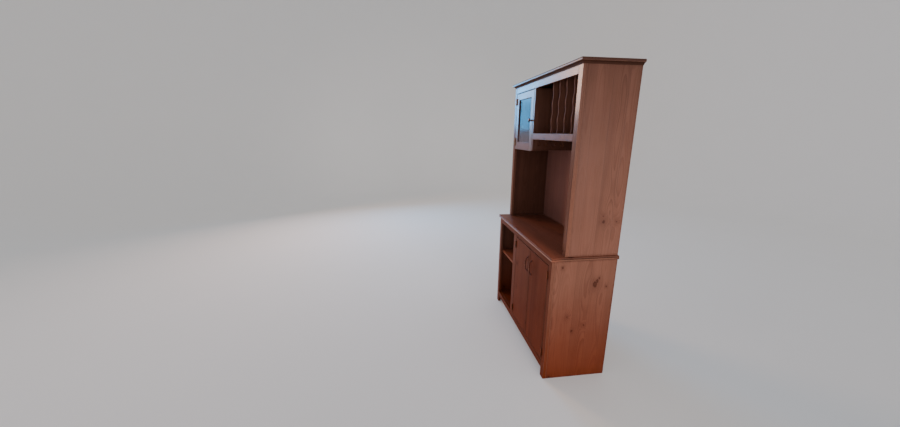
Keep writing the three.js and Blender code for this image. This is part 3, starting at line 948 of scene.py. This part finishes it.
def make_hinges(door, facing):
    """Both hinges of a door. facing is the way along X from its hinges to its other edge."""
    low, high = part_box(f"{door}_hinge_lower")
    inset = PIN_HEAD / (high.z - low.z)
    outer = [(inset, OUTER_KNUCKLES[0]), (OUTER_KNUCKLES[1], 1 - inset)]
    colours = HINGE_COLOURS[door]
    for level in ("lower", "upper"):
        make_hinge_half(f"{door}_hinge_{level}", CARCASS, facing, outer, True, colours)
        make_hinge_half(f"{door}_leaf_{level}", door, -facing, [MIDDLE_KNUCKLE], False, colours)


def middle_of(node):
    low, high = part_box(node)
    return (low + high) / 2


def make_panel_pins(panel, level, upright):
    """The flat heads of the pins through a back panel.

    They go into the boards round it, a board behind it at one height, and an upright one.
    """
    low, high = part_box(panel)
    margin = 9 * MM
    spacing = 0.13
    across = round((high.x - low.x) / spacing)
    up = round((high.z - low.z) / spacing)
    places = [Vector((low.x + (high.x - low.x) * step / across, high.y, height))
              for height in (low.z + margin, level, high.z - margin) for step in range(1, across)]
    places += [Vector((x, high.y, low.z + margin + (high.z - low.z - 2 * margin) * (step / up)))
               for x in (low.x + margin, upright, high.x - margin) for step in range(up + 1)]
    bm = bmesh.new()
    for place in places:
        turned_form(bm, place, BACK, UP, scaled(PANEL_PIN_HEAD, MM, MM), 12)
    name = f"panel_pins_{panel.split('_')[0]}"
    add_piece(name, bm, metal(f"steel_{name}", STEEL, RUST, 0.45), CARCASS)


def make_camera():
    forward = Vector((-math.cos(CAMERA_YAW) * math.cos(CAMERA_PITCH),
                      math.sin(CAMERA_YAW) * math.cos(CAMERA_PITCH), -math.sin(CAMERA_PITCH)))
    level = forward.cross(UP).normalized()
    upward = level.cross(forward)
    right = level * math.cos(CAMERA_ROLL) + upward * math.sin(CAMERA_ROLL)
    above = upward * math.cos(CAMERA_ROLL) - level * math.sin(CAMERA_ROLL)
    data = bpy.data.cameras.new("camera")
    data.sensor_width = SENSOR_WIDTH
    data.lens = FOCAL_PIXELS / PICTURE_WIDTH * SENSOR_WIDTH
    camera = bpy.data.objects.new("camera", data)
    turned = Matrix((right, above, -forward)).transposed().to_4x4()
    camera.matrix_world = Matrix.Translation(CAMERA_PLACE) @ turned
    bpy.context.scene.collection.objects.link(camera)
    bpy.context.scene.camera = camera


# The studio, in metres, watts and degrees. Two windows stand far to the left, a warm room light
# off the near end, and a weak fill in front. Lights are (place, target, size, power, colour,
# spread).
FLOOR_RADIUS = 6.0
FLOOR_CURVE = 1.5
WALL_HEIGHT = 12.0
FLOOR_PALE = linear(228, 225, 220)
FLOOR_SHADED = linear(220, 216, 210)
STUDIO_GLOW = (0.92, 0.95, 1.0, 1.0)
STUDIO_GLOW_STRENGTH = 0.13
SKY = (0.9, 0.92, 1.0, 1.0)
SKY_STRENGTH = 0.46
LIGHTS = {
    "far_window": ((-4.3, -1.3, 2.3), (-0.3, -0.1, 1.75), (1.1, 1.5), 84, (0.06, 0.48, 1.0), 180),
    "near_window": ((-3.8, -2.8, 2.55), (0.3, -0.1, 1.75), (1.0, 1.4), 96, (1.0, 0.6, 0.4), 180),
    "room_light": ((4.2, 0.4, 1.2), (0.5, 0.05, 0.9), (1.6, 1.0), 9.5, (1.0, 0.9, 0.88), 40),
    "fill_light": ((1.2, -4.5, 2.4), (0.0, 0.0, 0.8), (3.0, 2.0), 8, (0.9, 0.88, 1.0), 180),
}


def make_floor():
    """A pale floor that curves up into a pale wall all round."""
    bm = bmesh.new()
    path = [Vector((0.001, 0, 0)), Vector((FLOOR_RADIUS, 0, 0))]
    steps = 12
    for step in range(1, steps + 1):
        angle = math.radians(90 / steps * step)
        path.append(Vector((FLOOR_RADIUS + FLOOR_CURVE * math.sin(angle), 0,
                            FLOOR_CURVE * (1 - math.cos(angle)))))
    path.append(Vector((FLOOR_RADIUS + FLOOR_CURVE, 0, WALL_HEIGHT)))
    verts = [bm.verts.new(place) for place in path]
    edges = [bm.edges.new(pair) for pair in zip(verts, verts[1:])]
    bmesh.ops.spin(bm, geom=verts + edges, cent=(0, 0, 0), axis=UP, dvec=(0, 0, 0),
                   angle=2 * math.pi, steps=64, use_merge=True, use_duplicate=False)
    bmesh.ops.remove_doubles(bm, verts=bm.verts, dist=2 * MM)
    mesh = bpy.data.meshes.new("studio_floor")
    bm.to_mesh(mesh)
    bm.free()
    mesh.shade_smooth()
    material, start, shader, place = new_material("studio_floor")
    mottle = start.noise(place, 2.0, 3.0)
    start.connect(shader, {
        "Base Color": start.mix(mottle * 0.3, FLOOR_PALE, FLOOR_SHADED),
        "Roughness": 0.8,
        "Emission Color": STUDIO_GLOW,
        "Emission Strength": STUDIO_GLOW_STRENGTH,
    })
    mesh.materials.append(material)
    floor = bpy.data.objects.new("studio_floor", mesh)
    bpy.context.scene.collection.objects.link(floor)


def make_lights():
    world = bpy.data.worlds.new("studio_sky")
    world.use_nodes = True
    background = next(node for node in world.node_tree.nodes if node.type == "BACKGROUND")
    background.inputs["Color"].default_value = SKY
    background.inputs["Strength"].default_value = SKY_STRENGTH
    bpy.context.scene.world = world
    for name, (place, target, size, power, colour, spread) in LIGHTS.items():
        data = bpy.data.lights.new(name, "AREA")
        data.shape = "RECTANGLE"
        data.size, data.size_y = size
        data.energy = power
        data.color = colour
        data.spread = math.radians(spread)
        light = bpy.data.objects.new(name, data)
        light.location = place
        aim = Vector(target) - Vector(place)
        light.rotation_euler = aim.to_track_quat("-Z", "Y").to_euler()
        bpy.context.scene.collection.objects.link(light)


make_counter()
make_top_board()
make_crown()
dress_boards()
for divider in DIVIDERS:
    make_divider(divider)
make_beads()
put_glass()
for door in ("door_left", "door_right"):
    make_pull(door)
make_knob()
for number in (1, 2, 3, 4):
    make_hook(number)
for door, facing in (("door_left", 1), ("door_right", -1), ("glass_door", 1)):
    make_hinges(door, facing)
make_panel_pins("base_back", middle_of("niche_shelf").z, middle_of("base_partition").x)
make_panel_pins("upper_back", middle_of("rack_shelf").z, middle_of("upper_partition").x)

make_camera()
make_floor()
make_lights()
